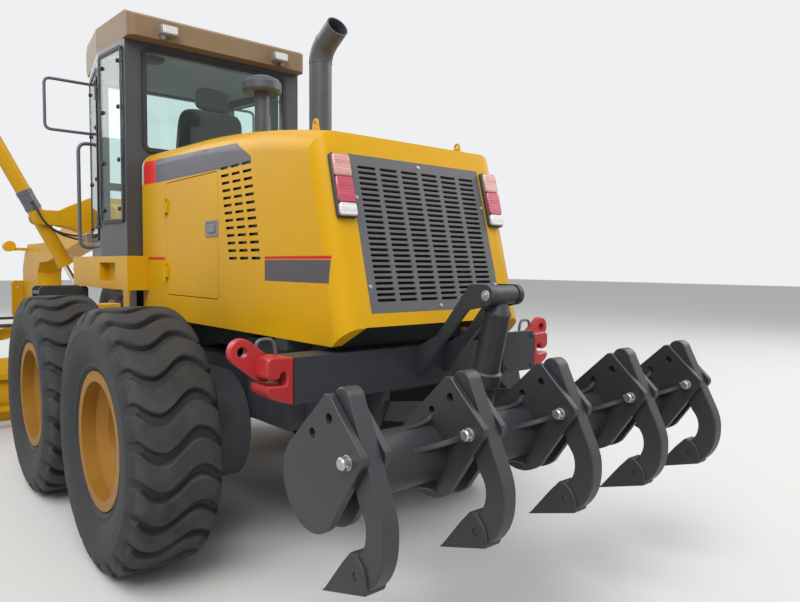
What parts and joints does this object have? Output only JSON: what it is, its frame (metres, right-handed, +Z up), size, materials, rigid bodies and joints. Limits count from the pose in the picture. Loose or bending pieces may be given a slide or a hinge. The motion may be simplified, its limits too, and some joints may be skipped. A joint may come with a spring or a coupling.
{
  "type": "motor grader",
  "caption": "Six-wheel motor grader with enclosed cab, louvred engine hood, articulated frame, turning circle with curved blade and a rear ripper with toothed shanks.",
  "frame": {"origin": "on the ground, under the middle of the machine's length and width", "axes": "+X forward, +Y to the machine's left, +Z up"},
  "size_m": [9.8569, 4.27, 3.372],
  "materials": {
    "yellow_paint": "semi-gloss yellow machine paint",
    "dark_paint": "satin dark grey paint",
    "black_paint": "satin black paint",
    "red_paint": "semi-gloss red paint",
    "grille_grey": "satin grey perforated sheet",
    "lamp": "clear and coloured lamp lenses",
    "window_glass": "tinted window glass",
    "seat_cloth": "dark woven seat cloth",
    "trim": "moulded cab trim",
    "tyre_rubber": "dusty black tyre rubber",
    "rim_paint": "orange-yellow rim paint",
    "rod_chrome": "hard chromed rods"
  },
  "bodies": {
    "machine": {"rear_frame": "black_paint", "beam_ends": "red_paint", "engine": "dark_paint", "hood": "yellow_paint", "grille": "grille_grey", "lamps": "lamp", "stacks": "dark_paint", "cab": "dark_paint", "cab_roof": "yellow_paint", "cab_glass": "window_glass", "seat": "seat_cloth", "console": "trim", "rails_and_steps": "black_paint", "platform": "yellow_paint", "rear_axle": "black_paint"},
    "door_left_body": {"door_left": "dark_paint", "door_glass_left": "window_glass"},
    "door_right_body": {"door_right": "dark_paint", "door_glass_right": "window_glass"},
    "hood_door_left_body": {"hood_door_left": "yellow_paint"},
    "hood_door_right_body": {"hood_door_right": "yellow_paint"},
    "tandem_left_body": {"tandem_left": "black_paint"},
    "tandem_right_body": {"tandem_right": "black_paint"},
    "front_half": {"front_frame": "yellow_paint", "lift_saddle": "yellow_paint", "drawbar_swivel": "dark_paint"},
    "axle": {"front_axle": "yellow_paint"},
    "lean_left_body": {"lean_left": "yellow_paint"},
    "lean_right_body": {"lean_right": "yellow_paint"},
    "lean_bar_body": {"lean_bar": "dark_paint"},
    "knuckle_left_body": {"knuckle_left": "dark_paint"},
    "knuckle_right_body": {"knuckle_right": "dark_paint"},
    "tie_rod_body": {"tie_rod": "dark_paint"},
    "drawbar_body": {"drawbar": "yellow_paint"},
    "circle_body": {"circle": "dark_paint", "circle_arms": "dark_paint"},
    "carrier": {"blade_carrier": "dark_paint"},
    "blade": {"moldboard": "yellow_paint"},
    "barrel_left": {"lift_barrel_left": "yellow_paint"},
    "barrel_right": {"lift_barrel_right": "yellow_paint"},
    "rod_left": {"lift_rod_left": "rod_chrome"},
    "rod_right": {"lift_rod_right": "rod_chrome"},
    "link_lower": {"ripper_link_lower": "dark_paint"},
    "link_upper": {"ripper_link_upper": "dark_paint"},
    "ripper": {"ripper_frame": "dark_paint", "ripper_shanks": "dark_paint"},
    "ripper_cylinder": {"ripper_barrel": "dark_paint"},
    "ripper_piston": {"ripper_rod": "rod_chrome"},
    "wheel_rear_left": {"tyre_rear_left": "tyre_rubber", "rim_rear_left": "rim_paint"},
    "wheel_mid_left": {"tyre_mid_left": "tyre_rubber", "rim_mid_left": "rim_paint"},
    "wheel_rear_right": {"tyre_rear_right": "tyre_rubber", "rim_rear_right": "rim_paint"},
    "wheel_mid_right": {"tyre_mid_right": "tyre_rubber", "rim_mid_right": "rim_paint"},
    "wheel_front_left": {"tyre_front_left": "tyre_rubber", "rim_front_left": "rim_paint"},
    "wheel_front_right": {"tyre_front_right": "tyre_rubber", "rim_front_right": "rim_paint"}
  },
  "joints": [
    {"name": "articulation", "type": "hinge", "parent": "machine", "child": "front_half", "pos_m": [-0.1305, 0, 1], "axis": [0, 0, 1], "range_deg": [-27, 27]},
    {"name": "cab_door_left", "type": "hinge", "parent": "machine", "child": "door_left_body", "pos_m": [-1.1065, 0.74377, 2.3], "axis": [0, 0, 1], "range_deg": [0, 80]},
    {"name": "hood_door_left", "type": "hinge", "parent": "machine", "child": "hood_door_left_body", "pos_m": [-2.0535, 0.601, 1.7], "axis": [0, 0, -1], "range_deg": [0, 100]},
    {"name": "tandem_left_swing", "type": "hinge", "parent": "machine", "child": "tandem_left_body", "pos_m": [-2.0905, 0.68, 0.672], "axis": [0, 1, 0], "range_deg": [-15, 15]},
    {"name": "spin_rear_left", "type": "hinge", "parent": "tandem_left_body", "child": "wheel_rear_left", "pos_m": [-2.8595, 1.078, 0.672], "axis": [0, 1, 0], "continuous": true},
    {"name": "spin_mid_left", "type": "hinge", "parent": "tandem_left_body", "child": "wheel_mid_left", "pos_m": [-1.3215, 1.078, 0.672], "axis": [0, 1, 0], "continuous": true},
    {"name": "cab_door_right", "type": "hinge", "parent": "machine", "child": "door_right_body", "pos_m": [-1.1065, -0.74377, 2.3], "axis": [0, 0, -1], "range_deg": [0, 80]},
    {"name": "hood_door_right", "type": "hinge", "parent": "machine", "child": "hood_door_right_body", "pos_m": [-2.0535, -0.601, 1.7], "axis": [0, 0, 1], "range_deg": [0, 100]},
    {"name": "tandem_right_swing", "type": "hinge", "parent": "machine", "child": "tandem_right_body", "pos_m": [-2.0905, -0.68, 0.672], "axis": [0, 1, 0], "range_deg": [-15, 15]},
    {"name": "spin_rear_right", "type": "hinge", "parent": "tandem_right_body", "child": "wheel_rear_right", "pos_m": [-2.8595, -1.078, 0.672], "axis": [0, 1, 0], "continuous": true},
    {"name": "spin_mid_right", "type": "hinge", "parent": "tandem_right_body", "child": "wheel_mid_right", "pos_m": [-1.3215, -1.078, 0.672], "axis": [0, 1, 0], "continuous": true},
    {"name": "axle_rock", "type": "hinge", "parent": "front_half", "child": "axle", "pos_m": [4.1285, 0, 0.7], "axis": [1, 0, 0], "range_deg": [-15, 15]},
    {"name": "lean_left_hinge", "type": "hinge", "parent": "axle", "child": "lean_left_body", "pos_m": [4.1285, 0.7, 0.56], "axis": [-1, 0, 0], "range_deg": [-17, 17]},
    {"name": "steer_left", "type": "hinge", "parent": "lean_left_body", "child": "knuckle_left_body", "pos_m": [4.1285, 0.85, 0.672], "axis": [0, 0, 1], "range_deg": [-45, 45]},
    {"name": "spin_front_left", "type": "hinge", "parent": "knuckle_left_body", "child": "wheel_front_left", "pos_m": [4.1285, 1.078, 0.672], "axis": [0, 1, 0], "continuous": true},
    {"name": "lean_right_hinge", "type": "hinge", "parent": "axle", "child": "lean_right_body", "pos_m": [4.1285, -0.7, 0.56], "axis": [-1, 0, 0], "range_deg": [-17, 17]},
    {"name": "steer_right", "type": "hinge", "parent": "lean_right_body", "child": "knuckle_right_body", "pos_m": [4.1285, -0.85, 0.672], "axis": [0, 0, 1], "range_deg": [-45, 45]},
    {"name": "spin_front_right", "type": "hinge", "parent": "knuckle_right_body", "child": "wheel_front_right", "pos_m": [4.1285, -1.078, 0.672], "axis": [0, 1, 0], "continuous": true},
    {"name": "lean_bar_slide", "type": "slide", "parent": "axle", "child": "lean_bar_body", "axis": [0, 1, 0], "range_m": [-0.072, 0.072]},
    {"name": "tie_rod_slide", "type": "slide", "parent": "axle", "child": "tie_rod_body", "axis": [0, 1, 0], "range_m": [-0.11, 0.11]},
    {"name": "drawbar_lift", "type": "hinge", "parent": "front_half", "child": "drawbar_body", "pos_m": [3.6095, 0, 0.85], "axis": [0, 1, 0], "range_deg": [-11, 8.5]},
    {"name": "circle_turn", "type": "hinge", "parent": "drawbar_body", "child": "circle_body", "pos_m": [1.0595, 0, 0.79], "axis": [0, 0, -1], "range_deg": [-40, 40]},
    {"name": "blade_tilt", "type": "hinge", "parent": "circle_body", "child": "carrier", "pos_m": [0.5995, 0, 0.15], "axis": [0, 1, 0], "range_deg": [-12, 25]},
    {"name": "blade_shift", "type": "slide", "parent": "carrier", "child": "blade", "axis": [0, 1, 0], "range_m": [-0.45, 0.45]},
    {"name": "lift_swing_left", "type": "hinge", "parent": "front_half", "child": "barrel_left", "pos_m": [0.9095, 0.73, 2.01], "axis": [1, 0, 0], "range_deg": [-8.2, 10.6]},
    {"name": "lift_slide_left", "type": "slide", "parent": "barrel_left", "child": "rod_left", "axis": [0, 0.4563, 0.8898], "range_m": [-0.48, 0.37]},
    {"name": "lift_swing_right", "type": "hinge", "parent": "front_half", "child": "barrel_right", "pos_m": [0.9095, -0.73, 2.01], "axis": [1, 0, 0], "range_deg": [-10.6, 8.2]},
    {"name": "lift_slide_right", "type": "slide", "parent": "barrel_right", "child": "rod_right", "axis": [0, -0.4563, 0.8898], "range_m": [-0.48, 0.37]},
    {"name": "ripper_lift", "type": "hinge", "parent": "machine", "child": "link_lower", "pos_m": [-3.7905, 0, 0.6], "axis": [0, -1, 0], "range_deg": [0, 71]},
    {"name": "ripper_link_swing", "type": "hinge", "parent": "machine", "child": "link_upper", "pos_m": [-3.7905, 0, 0.85], "axis": [0, -1, 0], "range_deg": [0, 71]},
    {"name": "ripper_level", "type": "hinge", "parent": "link_lower", "child": "ripper", "pos_m": [-4.42065, 0, 0.69981], "axis": [0, -1, 0], "range_deg": [-71, 0]},
    {"name": "ripper_cylinder_swing", "type": "hinge", "parent": "machine", "child": "ripper_cylinder", "pos_m": [-4.4205, 0, 1.44], "axis": [0, -1, 0], "range_deg": [-8, 12]},
    {"name": "ripper_cylinder_slide", "type": "slide", "parent": "ripper_cylinder", "child": "ripper_piston", "axis": [0.2279, 0, -0.9737], "range_m": [0, 0.53]}
  ],
  "couplings": [
    {"joint": "lean_right_hinge", "follows": "lean_left_hinge", "ratio": 1},
    {"joint": "steer_right", "follows": "steer_left", "ratio": 1},
    {"joint": "lean_bar_slide", "follows": "lean_left_hinge", "m_per_rad": 0.22861},
    {"joint": "tie_rod_slide", "follows": "steer_left", "m_per_rad": -0.13505},
    {"joint": "lift_swing_left", "follows": "drawbar_lift", "ratio": -0.95},
    {"joint": "lift_slide_left", "follows": "drawbar_lift", "m_per_rad": 2.42},
    {"joint": "lift_swing_right", "follows": "drawbar_lift", "ratio": 0.95},
    {"joint": "lift_slide_right", "follows": "drawbar_lift", "m_per_rad": 2.42},
    {"joint": "ripper_link_swing", "follows": "ripper_lift", "ratio": 1},
    {"joint": "ripper_level", "follows": "ripper_lift", "ratio": -1},
    {"joint": "ripper_cylinder_swing", "follows": "ripper_lift", "ratio": 0.075406},
    {"joint": "ripper_cylinder_slide", "follows": "ripper_lift", "m_per_rad": 0.42003}
  ]
}
